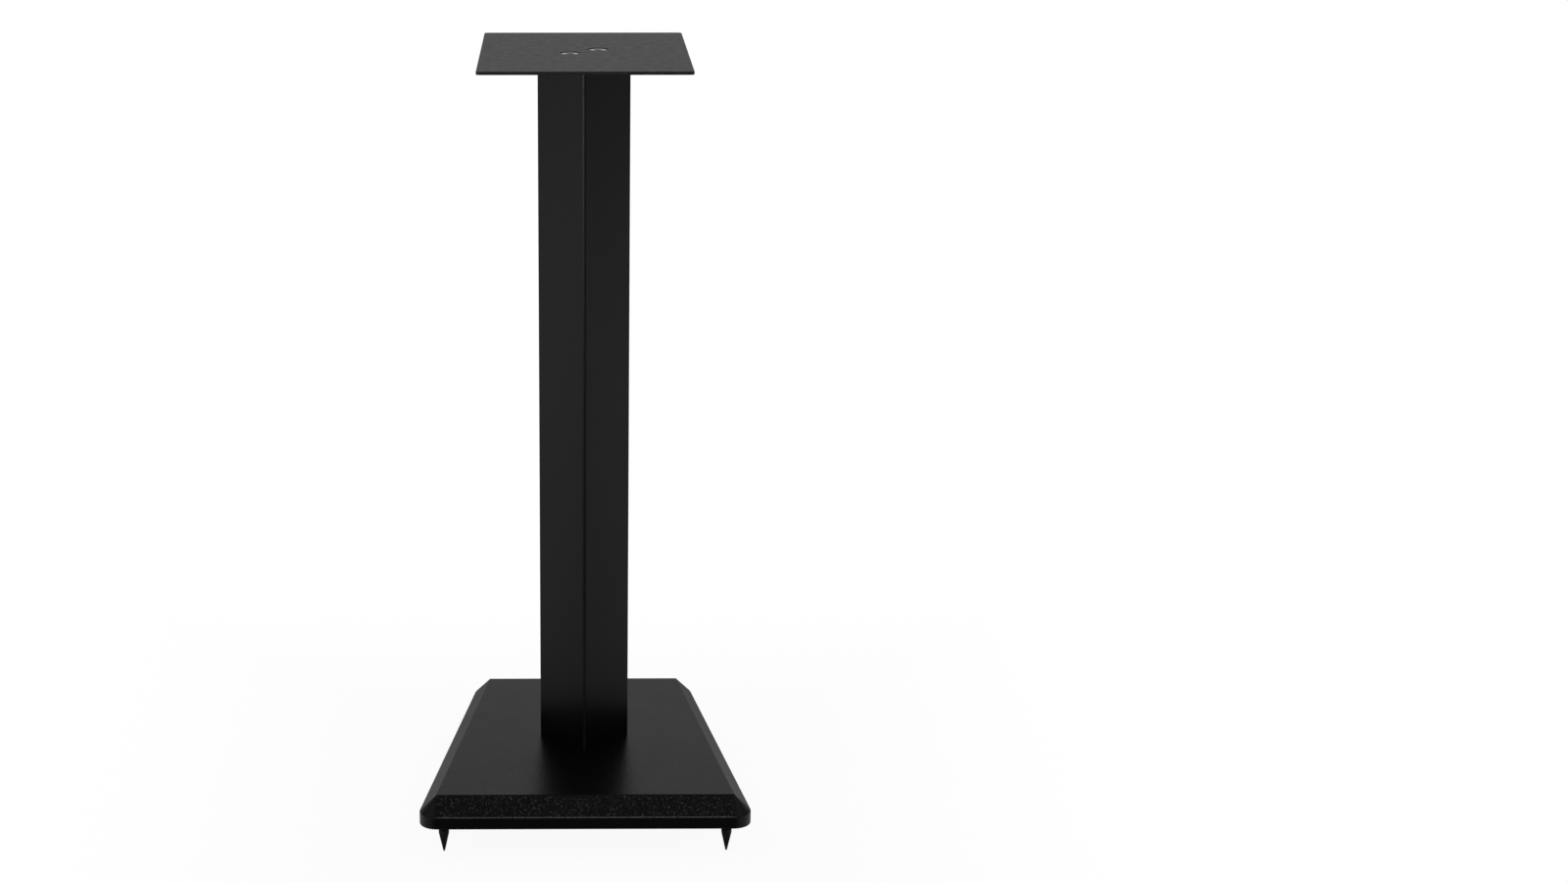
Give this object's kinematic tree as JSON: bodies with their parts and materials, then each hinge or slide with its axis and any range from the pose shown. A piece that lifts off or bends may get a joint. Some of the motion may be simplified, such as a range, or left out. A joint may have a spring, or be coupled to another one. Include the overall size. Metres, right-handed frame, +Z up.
{
  "type": "speaker stand",
  "caption": "Speaker stand: flat top plate on a square post turned to a diamond, carried by a bevelled base board, wide in front, on adjustable floor spikes.",
  "frame": {"origin": "on the floor under the post's axis, which is the middle of the base board; the four spike tips stand at Z = 0", "axes": "+Z up along the post, the wide front edge of the base board towards -Y, +X to the right seen from the front"},
  "size_m": [0.254, 0.27, 0.6],
  "materials": {
    "plate_coat": "fine satin powder coat, dark charcoal",
    "post_coat": "fine satin powder coat, black",
    "painted_board": "fibreboard sprayed with a finely speckled satin black paint",
    "black_screw": "black oxide steel",
    "spike_steel": "black plated steel, satin",
    "zinc_steel": "bright zinc plated steel",
    "welded_steel": "plain mild steel, closed inside the post"
  },
  "bodies": {
    "stand": {"top_plate": "plate_coat", "top_screw_front": "black_screw", "top_screw_back": "black_screw", "post_tube": "post_coat", "upper_end_plate": "welded_steel", "upper_weld_nut_front": "welded_steel", "upper_weld_nut_back": "welded_steel", "lower_end_plate": "welded_steel", "lower_weld_nut_front": "welded_steel", "lower_weld_nut_back": "welded_steel", "base_board": "painted_board", "base_washer_front": "zinc_steel", "base_washer_back": "zinc_steel", "base_bolt_front": "black_screw", "base_bolt_back": "black_screw", "insert_front_left": "zinc_steel", "insert_front_right": "zinc_steel", "insert_back_left": "zinc_steel", "insert_back_right": "zinc_steel"},
    "spike_front_left": {"spike_front_left": "spike_steel"},
    "spike_front_right": {"spike_front_right": "spike_steel"},
    "spike_back_left": {"spike_back_left": "spike_steel"},
    "spike_back_right": {"spike_back_right": "spike_steel"},
    "lock_nut_front_left": {"lock_nut_front_left": "black_screw"},
    "lock_nut_front_right": {"lock_nut_front_right": "black_screw"},
    "lock_nut_back_left": {"lock_nut_back_left": "black_screw"},
    "lock_nut_back_right": {"lock_nut_back_right": "black_screw"}
  },
  "joints": [
    {"name": "spike_front_left_height", "type": "slide", "parent": "stand", "child": "spike_front_left", "axis": [0, 0, -1], "range_m": [-0.005, 0.006]},
    {"name": "spike_front_right_height", "type": "slide", "parent": "stand", "child": "spike_front_right", "axis": [0, 0, -1], "range_m": [-0.005, 0.006]},
    {"name": "spike_back_left_height", "type": "slide", "parent": "stand", "child": "spike_back_left", "axis": [0, 0, -1], "range_m": [-0.005, 0.006]},
    {"name": "spike_back_right_height", "type": "slide", "parent": "stand", "child": "spike_back_right", "axis": [0, 0, -1], "range_m": [-0.005, 0.006]},
    {"name": "lock_nut_front_left_release", "type": "slide", "parent": "stand", "child": "lock_nut_front_left", "axis": [0, 0, -1], "range_m": [0, 0.003]},
    {"name": "lock_nut_front_right_release", "type": "slide", "parent": "stand", "child": "lock_nut_front_right", "axis": [0, 0, -1], "range_m": [0, 0.003]},
    {"name": "lock_nut_back_left_release", "type": "slide", "parent": "stand", "child": "lock_nut_back_left", "axis": [0, 0, -1], "range_m": [0, 0.003]},
    {"name": "lock_nut_back_right_release", "type": "slide", "parent": "stand", "child": "lock_nut_back_right", "axis": [0, 0, -1], "range_m": [0, 0.003]}
  ]
}
